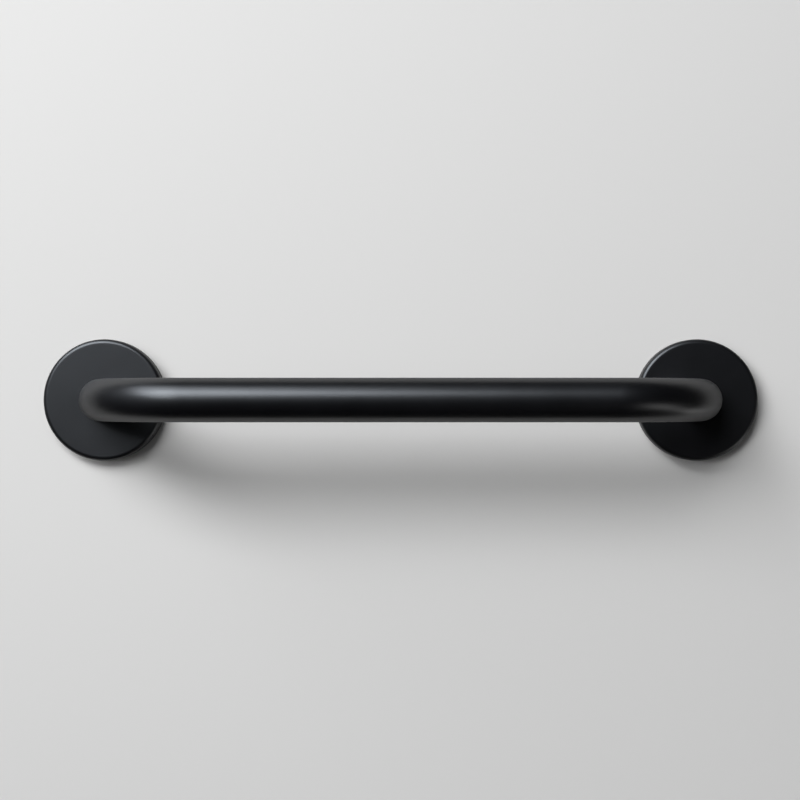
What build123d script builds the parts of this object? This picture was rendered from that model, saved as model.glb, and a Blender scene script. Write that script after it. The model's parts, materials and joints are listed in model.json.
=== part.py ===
from build123d import *
import os

# A grab bar for a bath or shower. A round tube, bent to the wall at both ends, is welded to two flanges.
# Each flange is screwed to the wall and hidden under a round cover that is pushed over its rim.
# The wall is the plane Y = 0. The bar runs along X, stands off towards -Y, and +Z is up.
# The origin is on the wall, midway between the flanges. All sizes are in millimetres.

# Tube
flange_spacing = 400.0  # between the centres of the two flanges
tube_diameter = 28.0
tube_wall = 1.5
bend_radius = 64.0  # of the tube's centre line
bare_stub = 4.0  # straight tube that shows between a cover and its bend
tube_setback = 0.5  # from the wall to the tube's end

# Flange
flange_diameter = 80.0
flange_thickness = 3.0
flange_chamfer = 0.8  # on the front of the rim, where the cover is pushed on
bore_clearance = 0.1  # radial, around the tube's end

# Weld between tube and flange
weld_leg = 3.0
weld_crown = 0.4  # how far the bead rises above a straight line between its toes

# Screws
screw_count = 3  # in each flange, evenly spaced
first_screw_angle = 90.0  # straight up from the flange's centre
screw_length = 40.0  # under the head
screw_tip = 6.0  # length of the point
thread_diameter = 5.0  # outside the thread, which is drawn as a plain cylinder
thread_height = 0.7  # from the plain neck inside the flange to the outside of the thread
hole_clearance = 0.5  # radial, between the thread and the flange's hole
head_diameter = 9.5
head_height = 3.5
head_rim = 1.4  # height of the head's straight side, under its dome
recess_span = 5.0  # across the cross-shaped driver recess
recess_width = 1.1
recess_depth = 1.8

# Cover
cover_sheet = 0.9
cover_fit = 0.1  # radial, between the flange's rim and the cover's skirt
cover_bend_radius = 2.0  # inside, between the flat front and the skirt
cover_head_room = 2.6  # between the screw heads and the inside of the cover
cover_tube_gap = 0.3  # radial, between the tube and the hole in the cover

# Places that follow from the sizes above
tube_radius = tube_diameter / 2
flange_radius = flange_diameter / 2
weld_toe_radius = tube_radius + weld_leg
screw_circle_radius = (weld_toe_radius + flange_radius) / 2
cover_inner_radius = flange_radius + cover_fit
cover_radius = cover_inner_radius + cover_sheet
cover_inner_depth = flange_thickness + head_height + cover_head_room
cover_depth = cover_inner_depth + cover_sheet
stand_off = cover_depth + bare_stub + bend_radius  # from the wall to the tube's centre line


# Every piece is drawn lying on the wall, in X and Y, with Z as the distance away from it.
def on_wall(x):
    """The upright plane of the wall, at a place along the bar, with its Z pointing away from the wall."""
    return Plane((x, 0, 0), x_dir=(1, 0, 0), z_dir=(0, -1, 0))


def turned(outline):
    """The solid that a closed outline of (radius, distance from the wall) makes about the flange's axis."""
    return revolve(Plane.XZ * make_face(outline), Axis.Z)


def screw_places():
    """Where a flange's screws stand, around its centre."""
    return PolarLocations(screw_circle_radius, screw_count, first_screw_angle)


def bent_tube():
    """The bar itself: one open-ended tube swept from flange to flange around two quarter bends."""
    half_spacing = flange_spacing / 2
    centre_line = FilletPolyline(
        (-half_spacing, 0, tube_setback),
        (-half_spacing, 0, stand_off),
        (half_spacing, 0, stand_off),
        (half_spacing, 0, tube_setback),
        radius=bend_radius,
    )
    ring = Circle(tube_radius) - Circle(tube_radius - tube_wall)
    return sweep(Pos(-half_spacing, 0, tube_setback) * ring, path=centre_line)


def flange_plate():
    """The round plate on the wall, with a bore for the tube's end and a ring of screw holes."""
    plate = extrude(Circle(flange_radius), flange_thickness)
    front_rim = plate.edges().group_by(Axis.Z)[-1]
    plate = chamfer(front_rim, flange_chamfer)
    plate -= extrude(Circle(tube_radius + bore_clearance), flange_thickness)
    screw_hole = extrude(Circle(thread_diameter / 2 + hole_clearance), flange_thickness)
    for place in screw_places():
        plate -= place * screw_hole
    return plate


def weld_bead():
    """The fillet weld around the tube, on the front of the flange."""
    corner = (tube_radius, flange_thickness)
    toe_on_flange = (weld_toe_radius, flange_thickness)
    toe_on_tube = (tube_radius, flange_thickness + weld_leg)
    bead_face = SagittaArc(toe_on_tube, toe_on_flange, weld_crown)
    return turned(bead_face + Polyline(toe_on_flange, corner, toe_on_tube))


def wall_screw():
    """A pan-head screw seated on the flange, with its thread in the wall."""
    head_top = flange_thickness + head_height
    point_end = flange_thickness - screw_length
    head_radius = head_diameter / 2
    thread_radius = thread_diameter / 2
    neck_radius = thread_radius - thread_height
    dome_edge = (head_radius, flange_thickness + head_rim)
    dome = TangentArc((0, head_top), dome_edge, tangent=(1, 0))
    shank = Polyline(
        dome_edge,
        (head_radius, flange_thickness),
        (neck_radius, flange_thickness),
        (neck_radius, 0),
        (thread_radius, 0),
        (thread_radius, point_end + screw_tip),
        (0, point_end),
        (0, head_top),
    )
    slot = Pos(0, 0, head_top) * Box(recess_span, recess_width, 2 * recess_depth)
    return turned(dome + shank) - slot - Rot(0, 0, 90) * slot


def screw_ring():
    """One flange's screws, as separate solids."""
    screw = wall_screw()
    return Compound(children=[place * screw for place in screw_places()])


def end_cover():
    """The pressed sheet cover: a flat front with a hole for the tube, and a skirt over the flange's rim."""
    hole_radius = tube_radius + cover_tube_gap
    outside = FilletPolyline(
        (hole_radius, cover_depth),
        (cover_radius, cover_depth),
        (cover_radius, 0),
        radius=cover_bend_radius + cover_sheet,
    )
    inside = FilletPolyline(
        (cover_inner_radius, 0),
        (cover_inner_radius, cover_inner_depth),
        (hole_radius, cover_inner_depth),
        radius=cover_bend_radius,
    )
    rim_edge = Line(outside @ 1, inside @ 0)
    hole_edge = Line(inside @ 1, outside @ 0)
    return turned(outside + rim_edge + inside + hole_edge)


pieces = {"bar_tube": on_wall(0) * bent_tube()}
for side, x in {"left": -flange_spacing / 2, "right": flange_spacing / 2}.items():
    pieces[f"{side}_flange"] = on_wall(x) * flange_plate()
    pieces[f"{side}_weld"] = on_wall(x) * weld_bead()
    pieces[f"{side}_screws"] = on_wall(x) * screw_ring()
    pieces[f"{side}_cover"] = on_wall(x) * end_cover()

os.makedirs("parts", exist_ok=True)
for name, piece in pieces.items():
    export_step(piece, f"parts/{name}.step")
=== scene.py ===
import json
import math
import bmesh
import bpy
from mathutils import Matrix, Vector


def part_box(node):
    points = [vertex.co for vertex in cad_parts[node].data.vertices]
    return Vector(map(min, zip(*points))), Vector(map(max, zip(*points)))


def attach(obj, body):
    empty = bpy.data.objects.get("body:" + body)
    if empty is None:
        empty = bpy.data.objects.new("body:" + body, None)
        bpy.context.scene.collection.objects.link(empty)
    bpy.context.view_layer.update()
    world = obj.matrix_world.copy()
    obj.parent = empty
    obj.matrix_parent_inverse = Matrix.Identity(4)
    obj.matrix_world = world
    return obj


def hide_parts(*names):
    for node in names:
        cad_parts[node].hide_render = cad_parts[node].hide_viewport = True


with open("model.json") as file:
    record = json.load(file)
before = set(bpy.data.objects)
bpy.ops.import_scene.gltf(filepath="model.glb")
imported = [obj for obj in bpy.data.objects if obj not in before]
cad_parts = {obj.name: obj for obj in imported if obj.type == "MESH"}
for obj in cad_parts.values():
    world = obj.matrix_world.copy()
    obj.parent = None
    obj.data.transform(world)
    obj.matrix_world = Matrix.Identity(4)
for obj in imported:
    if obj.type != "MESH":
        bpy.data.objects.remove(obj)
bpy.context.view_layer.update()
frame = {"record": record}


# Wall flanges
# Each is a round steel plate, cut with a bore for the tube's end and a ring of screw holes.
# Its front rim is chamfered, so that the cover slides on. It is powder coated together with the bar.

class Wire:
    """A node's output. Sums with it add Math nodes to its tree, and node() adds any other node."""

    def __init__(self, tree, socket=None):
        self.tree = tree
        self.socket = socket

    def node(self, kind, inputs=None, settings=None, output=0):
        """Add a node, set it up, connect its inputs, and return the wire from one of its outputs."""
        made = self.tree.nodes.new(kind)
        for name, value in (settings or {}).items():
            setattr(made, name, value)
        for name, value in (inputs or {}).items():
            for one in value if isinstance(value, list) else [value]:
                if isinstance(one, Wire):
                    self.tree.links.new(one.socket, made.inputs[name])
                else:
                    made.inputs[name].default_value = one
        return Wire(self.tree, made.outputs[output] if made.outputs else None)

    def sum(self, operation, first, second=0.0):
        return self.node("ShaderNodeMath", {0: first, 1: second}, {"operation": operation})

    def blend(self, first, second):
        """A colour that goes from one to another as this wire goes from 0 to 1."""
        # A Mix node's colours are its inputs 6 and 7 and its output 2.
        return self.node("ShaderNodeMix", {0: self, 6: first, 7: second}, {"data_type": "RGBA"}, output=2)

    def __add__(self, other):
        return self.sum("ADD", self, other)

    __radd__ = __add__

    def __mul__(self, other):
        return self.sum("MULTIPLY", self, other)

    __rmul__ = __mul__

    def __sub__(self, other):
        return self.sum("SUBTRACT", self, other)

    def __rsub__(self, other):
        return self.sum("SUBTRACT", other, self)

    def __gt__(self, other):
        return self.sum("GREATER_THAN", self, other)

    def __lt__(self, other):
        return self.sum("LESS_THAN", self, other)

    def __abs__(self):
        return self.sum("ABSOLUTE", self)


def new_material(name):
    """An empty node material, and the start of its wires."""
    material = bpy.data.materials.new(name)
    material.use_nodes = True
    material.node_tree.nodes.clear()
    return material, Wire(material.node_tree)


def ramp(value, low, high):
    """A smooth step of a wire, from 0 at one value to 1 at another."""
    return value.node(
        "ShaderNodeMapRange",
        {"Value": value, "From Min": low, "From Max": high},
        {"interpolation_type": "SMOOTHSTEP"},
    )


def powder_coat():
    """Satin black powder: near black, a little uneven in gloss, with a faint orange-peel surface.

    At a slant that surface hides its own far sides, so the coat looks duller there."""
    deep_black = (0.0007, 0.0006, 0.0009, 1.0)
    thin_black = (0.0014, 0.0012, 0.0018, 1.0)
    least_dullness = 0.305
    cloud_dullness = 0.06
    grain_dullness = 0.03
    slant_dullness = 0.15
    grain_height = 0.35
    material, start = new_material("satin_black_powder")
    place = start.node("ShaderNodeTexCoord", output="Object")
    cloud = start.node("ShaderNodeTexNoise", {"Vector": place, "Scale": 45.0, "Detail": 3.0})
    peel = start.node("ShaderNodeTexNoise", {"Vector": place, "Scale": 700.0, "Detail": 2.0})
    grain = start.node("ShaderNodeTexNoise", {"Vector": place, "Scale": 4200.0, "Detail": 1.0})
    facing_away = start.node("ShaderNodeLayerWeight", {"Blend": 0.5}, output="Facing")
    slant = ramp(facing_away, low=0.35, high=0.8)
    dullness = least_dullness + cloud_dullness * cloud + grain_dullness * grain + slant_dullness * slant
    relief = start.node(
        "ShaderNodeBump",
        {"Strength": 0.12, "Distance": 0.00005, "Height": peel + grain_height * grain},
    )
    coat = start.node("ShaderNodeBsdfPrincipled", {
        "Base Color": cloud.blend(deep_black, thin_black), "IOR": 1.5,
        "Roughness": dullness, "Normal": relief,
    })
    start.node("ShaderNodeOutputMaterial", {"Surface": coat})
    return material


def new_tree(name, inputs):
    """A Geometry Nodes tree, the start of its wires, and the wire from each of its named inputs."""
    tree = bpy.data.node_groups.new(name, "GeometryNodeTree")
    tree.interface.new_socket("Geometry", in_out="OUTPUT", socket_type="NodeSocketGeometry")
    for title, kind in inputs.items():
        tree.interface.new_socket(title, in_out="INPUT", socket_type="NodeSocket" + kind)
    source = tree.nodes.new("NodeGroupInput")
    return tree, Wire(tree), {title: Wire(tree, source.outputs[title]) for title in inputs}


def circle_line(radius, steps):
    """A circle about the origin, from the wire of its radius, as a curve of straight steps."""
    return radius.node("GeometryNodeCurvePrimitiveCircle", {"Resolution": steps, "Radius": radius})


def end_tree(shape, material):
    """Close a tree: plain geometry in one material."""
    plain = shape.node("GeometryNodeRealizeInstances", {0: shape})
    painted = plain.node("GeometryNodeSetMaterial", {"Geometry": plain, "Material": material})
    painted.node("NodeGroupOutput", {"Geometry": painted})


def as_piece(name, mesh, smooth_angle=15.0):
    """An object at the origin for a mesh that is already in place, smooth up to an angle in degrees."""
    mesh.name = name
    mesh.shade_smooth()
    mesh.set_sharp_from_angle(angle=math.radians(smooth_angle))
    piece = bpy.data.objects.new(name, mesh)
    bpy.context.scene.collection.objects.link(piece)
    return piece


def plain_mesh(source):
    """The mesh that an object shows with all its modifiers. The object itself is then removed."""
    shown = source.evaluated_get(bpy.context.evaluated_depsgraph_get())
    mesh = bpy.data.meshes.new_from_object(shown)
    bpy.data.objects.remove(source)
    return mesh


def grown(name, tree, values, finishing=None):
    """The piece that a tree makes from its input values, with any finishing modifiers applied."""
    seed = bpy.data.objects.new(name + "_seed", bpy.data.meshes.new(name + "_seed"))
    bpy.context.scene.collection.objects.link(seed)
    growth = seed.modifiers.new("growth", "NODES")
    growth.node_group = tree
    for item in tree.interface.items_tree:
        if item.in_out == "INPUT":
            growth[item.identifier] = values[item.name]
    for kind, settings in (finishing or {}).items():
        finish = seed.modifiers.new(kind.lower(), kind)
        for setting, value in settings.items():
            setattr(finish, setting, value)
    return as_piece(name, plain_mesh(seed))


def finish_piece(piece, node):
    """Put a piece on the one rigid body, in place of the node that it details."""
    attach(piece, "root")
    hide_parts(node)


def reach_of(node):
    """How far a round piece of the right end reaches from the end's centre."""
    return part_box(node)[1].x - centres["right"]


# All sizes are in metres.
millimetre = 0.001
quarter_turn = math.radians(90)
sides = ("left", "right")
mounts = {mount["name"]: mount for mount in frame["record"]["mounts"]}
centres = {side: mounts[f"{side}_screw_circle"]["pos_m"][0] for side in sides}
screw_pattern = mounts["right_screw_circle"]["dims"]
screw_circle_radius = screw_pattern["pcd_mm"] / 2 * millimetre
thread_radius = screw_pattern["stud_r_mm"] * millimetre
hole_clearance = 0.0005
tube_radius = reach_of("bar_tube")
bore_clearance = 0.0001
flange_radius = reach_of("right_flange")
flange_thickness = -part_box("right_flange")[0].y
flange_chamfer = 0.0008
broken_edge = 0.0002
chamfered_beyond = 0.98  # of the flange's radius: the only edge out there is its rim
merge_distance = 0.000001
rim_steps = 160
tube_steps = 96
hole_steps = 40

plate_tree, start, plate = new_tree("flange_plate", {
    "Centre": "Vector", "Radius": "Float", "Thickness": "Float", "Bore": "Float",
    "Hole": "Float", "Hole circle": "Float", "Holes": "Int", "Edge share": "Float", "Coat": "Material",
})
rim = circle_line(plate["Radius"], rim_steps)
bore = circle_line(plate["Bore"], tube_steps)
hole = circle_line(plate["Hole"], hole_steps)
turned_ring = start.node("GeometryNodeTransform", {
    "Geometry": circle_line(plate["Hole circle"], plate["Holes"]), "Rotation": (0.0, 0.0, quarter_turn),
})
holes = start.node("GeometryNodeInstanceOnPoints", {"Points": turned_ring, "Instance": hole})
cut_lines = start.node("GeometryNodeRealizeInstances", {
    0: start.node("GeometryNodeJoinGeometry", {0: [rim, bore, holes]}),
})
blank = start.node("GeometryNodeFillCurve", {"Curve": cut_lines}, {"mode": "NGONS"})
raised = start.node("GeometryNodeExtrudeMesh", {
    "Mesh": blank, "Offset Scale": plate["Thickness"], "Individual": False,
})
back = start.node("GeometryNodeFlipFaces", {"Mesh": blank})
closed = start.node("GeometryNodeMergeByDistance", {
    "Geometry": start.node("GeometryNodeJoinGeometry", {0: [raised, back]}), "Distance": merge_distance,
})
place = start.node("GeometryNodeInputPosition")
height = start.node("ShaderNodeSeparateXYZ", {0: place}, output="Z")
reach = start.node("ShaderNodeVectorMath", {0: place}, {"operation": "LENGTH"}, output="Value")
front_rim = (height > 0.5 * plate["Thickness"]) * (reach > chamfered_beyond * plate["Radius"])
bevel_share = plate["Edge share"] + (1.0 - plate["Edge share"]) * front_rim
weighted = start.node("GeometryNodeStoreNamedAttribute", {
    "Geometry": closed, "Name": "bevel_weight_edge", "Value": bevel_share,
}, {"domain": "EDGE", "data_type": "FLOAT"})
on_wall = start.node("GeometryNodeTransform", {
    "Geometry": weighted, "Translation": plate["Centre"], "Rotation": (quarter_turn, 0.0, 0.0),
})
end_tree(on_wall, plate["Coat"])

black_coat = powder_coat()
for side in sides:
    flange = grown(f"{side}_wall_flange", plate_tree, {
        "Centre": (centres[side], 0.0, 0.0), "Radius": flange_radius, "Thickness": flange_thickness,
        "Bore": tube_radius + bore_clearance, "Hole": thread_radius + hole_clearance,
        "Hole circle": screw_circle_radius, "Holes": screw_pattern["count"],
        "Edge share": broken_edge / flange_chamfer, "Coat": black_coat,
    }, {"BEVEL": {"limit_method": "WEIGHT", "width": flange_chamfer, "segments": 2}})
    finish_piece(flange, f"{side}_flange")


# Bar
# One round steel tube, bent a quarter turn to the wall at each end on a tube bender.
# Its open ends stand in the flanges' bores, and the powder coat runs over it without a seam.

tube_wall = 0.0015
bend_steps = 48
bar_low, bar_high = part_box("bar_tube")
stand_off = -bar_low.y - tube_radius
tube_setback = -bar_high.y
cover_depth = -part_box("right_cover")[0].y
bare_stub = 0.004
bend_radius = stand_off - cover_depth - bare_stub
corner_count = 4
middle_corner = (corner_count - 1) / 2

tube_tree, start, tube = new_tree("bent_tube", {
    "Half spacing": "Float", "Stand-off": "Float", "Setback": "Float", "Bend radius": "Float",
    "Bend steps": "Int", "Tube radius": "Float", "Coat": "Material",
})
# The corners are numbered from the left end. The first and the last are at the wall, the others in front.
corner = start.node("GeometryNodeInputIndex")
side_sign = 2.0 * (corner > middle_corner) - 1.0
in_front = abs(corner - middle_corner) < 1.0
corner_place = start.node("ShaderNodeCombineXYZ", {
    "X": side_sign * tube["Half spacing"],
    "Y": -1.0 * (tube["Setback"] + in_front * (tube["Stand-off"] - tube["Setback"])),
})
corners = start.node("GeometryNodeSetPosition", {
    "Geometry": start.node("GeometryNodeMeshLine", {"Count": corner_count}), "Position": corner_place,
})
sharp_line = start.node("GeometryNodeMeshToCurve", {"Mesh": corners})
centre_line = start.node("GeometryNodeFilletCurve", {
    "Curve": sharp_line, "Count": tube["Bend steps"], "Radius": tube["Bend radius"],
}, {"mode": "POLY"})
section = circle_line(tube["Tube radius"], tube_steps)
skin = start.node("GeometryNodeCurveToMesh", {"Curve": centre_line, "Profile Curve": section})
end_tree(skin, tube["Coat"])

bar = grown("bent_bar", tube_tree, {
    "Half spacing": centres["right"], "Stand-off": stand_off, "Setback": tube_setback,
    "Bend radius": bend_radius, "Bend steps": bend_steps, "Tube radius": tube_radius, "Coat": black_coat,
}, {"SOLIDIFY": {"thickness": tube_wall, "offset": -1.0, "use_even_offset": True}})
finish_piece(bar, "bar_tube")


# Welds
# A bead of weld metal runs round each end of the tube, on the front of its flange.
# It was laid by hand in small overlapping pools, which leave ripples, and is coated with the bar.

def turned(outline, centre_x, steps, material, radius_at=None):
    """A closed mesh turned about a flange's axis, from a loop of (radius, distance from the wall) points.

    radius_at(angle, radius, distance), where given, moves each point in or out as it goes round."""
    shape = bmesh.new()
    rings = []
    for radius, distance in outline:
        ring = []
        for step in range(steps if radius > 0 else 1):
            angle = 2 * math.pi * step / steps
            reach = radius_at(angle, radius, distance) if radius_at and radius > 0 else radius
            ring.append(shape.verts.new((
                centre_x + reach * math.cos(angle), -distance, reach * math.sin(angle),
            )))
        rings.append(ring)
    for ring, after in zip(rings, rings[1:] + rings[:1]):
        for step in range(steps):
            # On the axis a ring is one point, so two of the four corners are the same.
            corner_verts = []
            for vert in (
                ring[step % len(ring)], ring[(step + 1) % len(ring)],
                after[(step + 1) % len(after)], after[step % len(after)],
            ):
                if vert not in corner_verts:
                    corner_verts.append(vert)
            if len(corner_verts) > 2:
                shape.faces.new(corner_verts)
    bmesh.ops.recalc_face_normals(shape, faces=shape.faces)
    mesh = bpy.data.meshes.new("turned")
    shape.to_mesh(mesh)
    shape.free()
    mesh.materials.append(material)
    return mesh


def arc(centre, radius, first, last, steps):
    """Points of (radius, distance) on an arc, from one angle to another in degrees."""
    angles = [math.radians(first + (last - first) * step / steps) for step in range(steps + 1)]
    return [(centre[0] + radius * math.cos(a), centre[1] + radius * math.sin(a)) for a in angles]


weld_leg = reach_of("right_weld") - tube_radius
weld_crown = 0.0004
weld_rows = 10
weld_ripples = 34
weld_ripple_steps = 8
weld_ripple_height = 0.00025
weld_ripple_lag = 1.6
weld_smooth_angle = 60.0


def hump(share):
    """0 at both ends of a stretch and 1 midway."""
    return 4 * share * (1 - share)


def weld_face():
    """The bead's section: a low crown between its toes on the flange and on the tube."""
    face = []
    for row in range(weld_rows + 1):
        share = row / weld_rows
        swell = hump(share) * weld_crown / math.sqrt(2)
        face.append((
            tube_radius + weld_leg * (1 - share) + swell,
            flange_thickness + weld_leg * share + swell,
        ))
    return face + [(tube_radius, flange_thickness)]


def weld_ripple(angle, radius, distance):
    """Each pool is a crescent: its ripple lags towards both toes, and it fades out at them."""
    across = (distance - flange_thickness) / weld_leg
    lag = weld_ripple_lag * (2 * across - 1) ** 2
    pool = 0.5 + 0.5 * math.cos(weld_ripples * angle - lag)
    return radius - weld_ripple_height * (1 - pool) * hump(across)


weld_steps = weld_ripples * weld_ripple_steps
for side in sides:
    bead = turned(weld_face(), centres[side], weld_steps, black_coat, weld_ripple)
    weld = as_piece(f"{side}_weld_bead", bead, weld_smooth_angle)
    finish_piece(weld, f"{side}_weld")


# Screws
# Three pan-head screws of stainless steel hold each flange, driven through it into wall plugs.
# Each has a cross recess, a plain neck in the flange's hole, and a rolled thread down to its point.

screw_low, screw_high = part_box("left_screws")
head_top = -screw_low.y
point_end = -screw_high.y
head_radius = 0.00475
head_rim = 0.0014
dome_steps = 10
core_radius = 0.0018  # of the neck and of the thread's root
screw_tip = 0.006
thread_pitch = 0.0022
thread_ridge = 0.5  # share of the pitch that the ridge takes up
thread_rows = 8
recess_span = 0.005
recess_width = 0.0011
recess_depth = 0.0018
recess_taper = 0.55  # share of its span that a blade of the recess keeps at the bottom
screw_steps = 40


def screw_steel():
    """Drawn stainless steel, a little cloudy, with fine rings from its making."""
    dark_steel = (0.52, 0.51, 0.49, 1.0)
    bright_steel = (0.66, 0.65, 0.63, 1.0)
    least_dullness = 0.24
    ring_dullness = 0.16
    material, start = new_material("screw_stainless")
    place = start.node("ShaderNodeTexCoord", output="Object")
    drawn_out = start.node("ShaderNodeMapping", {"Vector": place, "Scale": (200.0, 9000.0, 200.0)})
    rings = start.node("ShaderNodeTexNoise", {"Vector": drawn_out, "Scale": 1.0, "Detail": 2.0})
    cloud = start.node("ShaderNodeTexNoise", {"Vector": place, "Scale": 600.0, "Detail": 3.0})
    relief = start.node("ShaderNodeBump", {"Strength": 0.2, "Distance": 0.00002, "Height": rings})
    steel = start.node("ShaderNodeBsdfPrincipled", {
        "Base Color": cloud.blend(dark_steel, bright_steel), "Metallic": 1.0,
        "Roughness": least_dullness + ring_dullness * rings, "Normal": relief,
    })
    start.node("ShaderNodeOutputMaterial", {"Surface": steel})
    return material


def thread_at(angle, radius, distance):
    """The thread's ridge winds round the shank behind the wall's face and runs out at the point."""
    if distance >= 0:
        return radius
    turn = (distance / thread_pitch - angle / (2 * math.pi)) % 1.0
    ridge = max(0.0, 1 - 2 * abs(turn - 0.5) / thread_ridge)
    return radius + (thread_radius - core_radius) * ridge * min(1.0, radius / core_radius)


def wall_screw(material):
    """One screw about the Y axis: a domed head, and a shank in rows fine enough for its thread."""
    dome_height = head_top - flange_thickness - head_rim
    dome_radius = (head_radius ** 2 + dome_height ** 2) / (2 * dome_height)
    dome_span = math.degrees(math.asin(head_radius / dome_radius))
    outline = arc((0.0, head_top - dome_radius), dome_radius, 90, 90 - dome_span, dome_steps)
    outline[0] = (0.0, head_top)  # exactly on the axis
    outline += [(head_radius, flange_thickness), (core_radius, flange_thickness), (core_radius, 0.0)]
    taper_start = point_end + screw_tip
    rows = round(-taper_start / thread_pitch * thread_rows)
    outline += [(core_radius, taper_start * row / rows) for row in range(1, rows + 1)]
    tip_rows = round(screw_tip / thread_pitch * thread_rows)
    for row in range(1, tip_rows):
        share = row / tip_rows
        outline.append((core_radius * (1 - share), taper_start - screw_tip * share))
    outline.append((0.0, point_end))
    return turned(outline, 0.0, screw_steps, material, thread_at)


def cross_cutter():
    """The driver's tip: two crossed blades that narrow towards their end."""
    shape = bmesh.new()
    for turn in (0.0, quarter_turn):
        blade = bmesh.ops.create_cube(shape, size=1.0)["verts"]
        bmesh.ops.scale(shape, verts=blade, vec=(recess_span, 2 * recess_depth, recess_width))
        for vert in blade:
            if vert.co.y > 0:
                vert.co.x *= recess_taper
        bmesh.ops.rotate(shape, verts=blade, matrix=Matrix.Rotation(turn, 3, "Y"))
        bmesh.ops.translate(shape, verts=blade, vec=(0, -head_top, 0))
    mesh = bpy.data.meshes.new("cross_cutter")
    shape.to_mesh(mesh)
    shape.free()
    return mesh


steel = screw_steel()
pattern_screw = as_piece("pattern_screw", wall_screw(steel))
cutter = as_piece("pattern_cutter", cross_cutter())
recess = pattern_screw.modifiers.new("recess", "BOOLEAN")
recess.object = cutter
recess.solver = "EXACT"
recess.use_self = True

ring_tree, start, ring = new_tree("screw_ring", {
    "Screw": "Object", "Centre": "Vector", "Circle": "Float", "Screws": "Int", "Steel": "Material",
})
screw = start.node("GeometryNodeObjectInfo", {"Object": ring["Screw"]}, output="Geometry")
upright = start.node("GeometryNodeTransform", {
    "Geometry": circle_line(ring["Circle"], ring["Screws"]),
    "Translation": ring["Centre"], "Rotation": (quarter_turn, -quarter_turn, 0.0),
})
screws = start.node("GeometryNodeInstanceOnPoints", {"Points": upright, "Instance": screw})
end_tree(screws, ring["Steel"])

for side in sides:
    screw_set = grown(f"{side}_wall_screws", ring_tree, {
        "Screw": pattern_screw, "Centre": (centres[side], 0.0, 0.0), "Circle": screw_circle_radius,
        "Screws": screw_pattern["count"], "Steel": steel,
    })
    finish_piece(screw_set, f"{side}_screws")
bpy.data.objects.remove(pattern_screw)
bpy.data.objects.remove(cutter)


# Covers
# Each is pressed from thin sheet: a flat round front with a hole for the tube, and a short skirt.
# It is coated like the bar, slides down the tube and is pushed over the flange's rim.

cover_radius = reach_of("right_cover")
cover_sheet = 0.0009
cover_inside_bend = 0.002
cover_tube_gap = 0.0003
cover_edge = 0.00025
cover_edge_steps = 3
outside_bend_steps = 12
inside_bend_steps = 8
flat_margin = 0.0004  # of flat sheet beside each rounding, where the rounding's shading ends
cover_steps = 192


def cover_sheet_outline():
    """The sheet's section: along its outside from the tube's hole to the wall, then back inside."""
    hole_radius = tube_radius + cover_tube_gap
    inner_radius = cover_radius - cover_sheet
    inner_depth = cover_depth - cover_sheet
    outside_bend = cover_inside_bend + cover_sheet
    bend_centre = (cover_radius - outside_bend, cover_depth - outside_bend)
    edge_centre = (hole_radius + cover_edge, cover_depth - cover_edge)
    front_end = bend_centre[0] - flat_margin
    skirt_end = bend_centre[1] - flat_margin
    outline = arc(edge_centre, cover_edge, 180, 90, cover_edge_steps)
    outline += [(edge_centre[0] + flat_margin, cover_depth), (front_end, cover_depth)]
    outline += arc(bend_centre, outside_bend, 90, 0, outside_bend_steps)
    outline += [(cover_radius, skirt_end), (cover_radius, 0.0)]
    outline += [(inner_radius, 0.0), (inner_radius, skirt_end)]
    outline += arc(bend_centre, cover_inside_bend, 0, 90, inside_bend_steps)
    outline += [(front_end, inner_depth), (hole_radius, inner_depth)]
    return outline


for side in sides:
    shell = turned(cover_sheet_outline(), centres[side], cover_steps, black_coat)
    cover = as_piece(f"{side}_end_cover", shell)
    finish_piece(cover, f"{side}_cover")


# Wall
# A plain pale wall panel stands behind the bar and takes its shadow. It isn't part of the bar.
# It is painted on its front alone and open under the covers, so that the bar's back can be seen.

wall_half = 0.32
wall_gap = 0.0001
wall_colour = (0.612, 0.57, 0.522, 1.0)
opening_radius = cover_radius - cover_sheet / 4
opening_steps = 96

panel_edge = [(x * wall_half, z * wall_half) for x, z in ((-1, -1), (1, -1), (1, 1), (-1, 1))]
opening_edge = arc((0.0, 0.0), opening_radius, 0, 360, opening_steps)[:-1]
wall_outlines = [panel_edge]
for side in sides:
    wall_outlines.append([(centres[side] + x, z) for x, z in opening_edge])
wall_shape = bmesh.new()
for outline in wall_outlines:
    verts = [wall_shape.verts.new((x, wall_gap, z)) for x, z in outline]
    for first, second in zip(verts, verts[1:] + verts[:1]):
        wall_shape.edges.new((first, second))
bmesh.ops.triangle_fill(wall_shape, use_beauty=True, edges=wall_shape.edges[:], normal=(0, -1, 0))
wall_mesh = bpy.data.meshes.new("wall")
wall_shape.to_mesh(wall_mesh)
wall_shape.free()
wall = bpy.data.objects.new("wall", wall_mesh)
bpy.context.scene.collection.objects.link(wall)

wall_paint, start = new_material("pale_wall")
paint = start.node("ShaderNodeBsdfDiffuse", {"Color": wall_colour})
see_through = start.node("ShaderNodeBsdfTransparent")
from_behind = start.node("ShaderNodeNewGeometry", output="Backfacing")
front_alone = start.node("ShaderNodeMixShader", {0: from_behind, 1: paint, 2: see_through})
start.node("ShaderNodeOutputMaterial", {"Surface": front_alone})
wall_mesh.materials.append(wall_paint)


# Light
# A broad soft lamp high on the left and a window beside it light the bar and the wall. Three more lamps
# show in the gloss alone. The gloss sees a dim room in front, and the backdrop is pale all round.

cool_light = (0.93, 1.0, 1.09)


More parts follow.
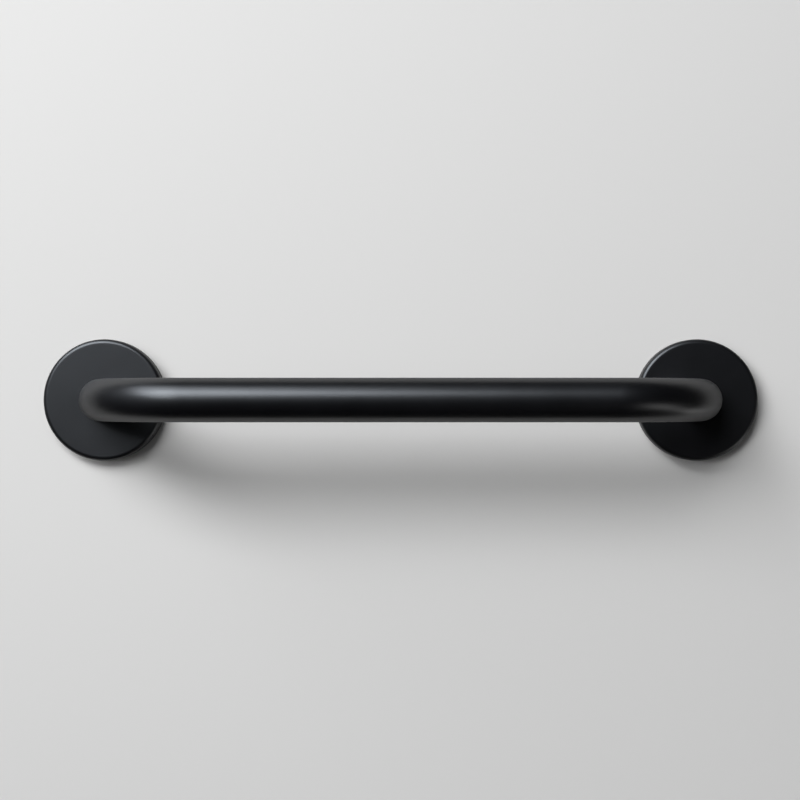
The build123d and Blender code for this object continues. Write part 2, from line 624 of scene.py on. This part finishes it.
def soft_lamp(name, place, target, size, power, lights_all=True):
    """An area lamp of cool light, aimed at a point. One that doesn't light all shows in gloss alone."""
    lamp = bpy.data.lights.new(name, "AREA")
    lamp.shape = "RECTANGLE"
    lamp.size, lamp.size_y = size
    lamp.energy = power
    lamp.color = cool_light
    stand = bpy.data.objects.new(name, lamp)
    stand.location = place
    stand.rotation_euler = (Vector(target) - Vector(place)).to_track_quat("-Z", "Y").to_euler()
    stand.visible_camera = False
    stand.visible_diffuse = lights_all
    bpy.context.scene.collection.objects.link(stand)


soft_lamp(
    "key_lamp", place=(-0.86, -1.43, 1.08), target=(-0.4, 0.0, 0.0), size=(1.72, 0.76), power=42.5,
)
soft_lamp(
    "left_gloss", place=(-1.0, -1.43, 1.08), target=(-0.3, 0.0, 0.0), size=(0.75, 0.6), power=3.4,
    lights_all=False,
)
soft_lamp(
    "upper_gloss", place=(-0.9, -0.85, 1.43), target=(-0.4, 0.0, 0.0), size=(1.5, 0.8), power=19.0,
    lights_all=False,
)
soft_lamp(
    "lower_gloss", place=(-0.9, -1.65, 0.52), target=(-0.3, 0.0, 0.0), size=(0.8, 0.25), power=7.5,
    lights_all=False,
)


def band(value, rise, fall):
    """1 where a wire lies between a rise and a fall, 0 elsewhere, smooth in between."""
    return ramp(value, *rise) * (1.0 - ramp(value, *fall))


backdrop_white = (1.0, 1.0, 1.0, 1.0)
backdrop_level = 0.6
fill_level = 0.1
left_window_level = 4.9
gloss_grey = (0.8, 0.8, 0.8, 1.0)
room_gloss_level = 0.01
side_gloss_level = 0.02
low_window_level = 2.0

room = bpy.data.worlds.new("room")
bpy.context.scene.world = room
room.use_nodes = True
room.node_tree.nodes.clear()
start = Wire(room.node_tree)
# A world's Generated coordinates are the direction that a ray goes in, and a window is a band of them.
heading = start.node("ShaderNodeTexCoord", output="Generated")
right, back, up = (start.node("ShaderNodeSeparateXYZ", {0: heading}, output=axis) for axis in "XYZ")
left = -1.0 * right
down = -1.0 * up
left_window = band(left, rise=(0.4, 0.6), fall=(0.75, 0.9)) * ramp(up, low=-0.2, high=0.1)
low_window = (
    band(right, rise=(0.45, 0.55), fall=(0.8, 0.88)) * band(down, rise=(0.3, 0.35), fall=(0.62, 0.68))
)
room_sides = ramp(abs(right), low=0.35, high=0.65)
behind_wall = ramp(back, low=0.25, high=0.45)
felt_level = fill_level + left_window_level * left_window
gloss_level = (
    room_gloss_level + side_gloss_level * room_sides
    + low_window_level * low_window + backdrop_level * behind_wall
)
felt = start.node("ShaderNodeBackground", {"Color": (*cool_light, 1.0), "Strength": felt_level})
in_gloss = start.node("ShaderNodeBackground", {"Color": gloss_grey, "Strength": gloss_level})
backdrop = start.node("ShaderNodeBackground", {"Color": backdrop_white, "Strength": backdrop_level})
is_gloss, is_seen, is_seen_through = (
    start.node("ShaderNodeLightPath", output=ray)
    for ray in ("Is Glossy Ray", "Is Camera Ray", "Is Transmission Ray")
)
room_light = start.node("ShaderNodeMixShader", {0: is_gloss, 1: felt, 2: in_gloss})
shown = start.node("ShaderNodeMixShader", {0: is_seen + is_seen_through, 1: room_light, 2: backdrop})
start.node("ShaderNodeOutputWorld", {"Surface": shown})
bpy.context.scene.view_settings.view_transform = "Standard"


# Camera
# It stands straight in front of the bar, level with it, at the distance that the covers' size suggests.
# Its lens follows from how far apart the covers stand in the picture, and is shifted a little off centre.

viewing_distance = 1.0
frame_pixels = 800
cover_spacing_pixels = 594.1
off_centre_pixels = 0.62
sensor_width = 36.0

spacing = centres["right"] - centres["left"]
focal_pixels = cover_spacing_pixels * (viewing_distance - cover_depth) / spacing
lens = bpy.data.cameras.new("camera")
lens.sensor_width = sensor_width
lens.shift_x = -off_centre_pixels / frame_pixels
lens.lens = sensor_width * focal_pixels / frame_pixels
camera = bpy.data.objects.new("camera", lens)
camera.location = (0.0, -viewing_distance, 0.0)
camera.rotation_euler = (quarter_turn, 0.0, 0.0)
bpy.context.scene.collection.objects.link(camera)
bpy.context.scene.camera = camera
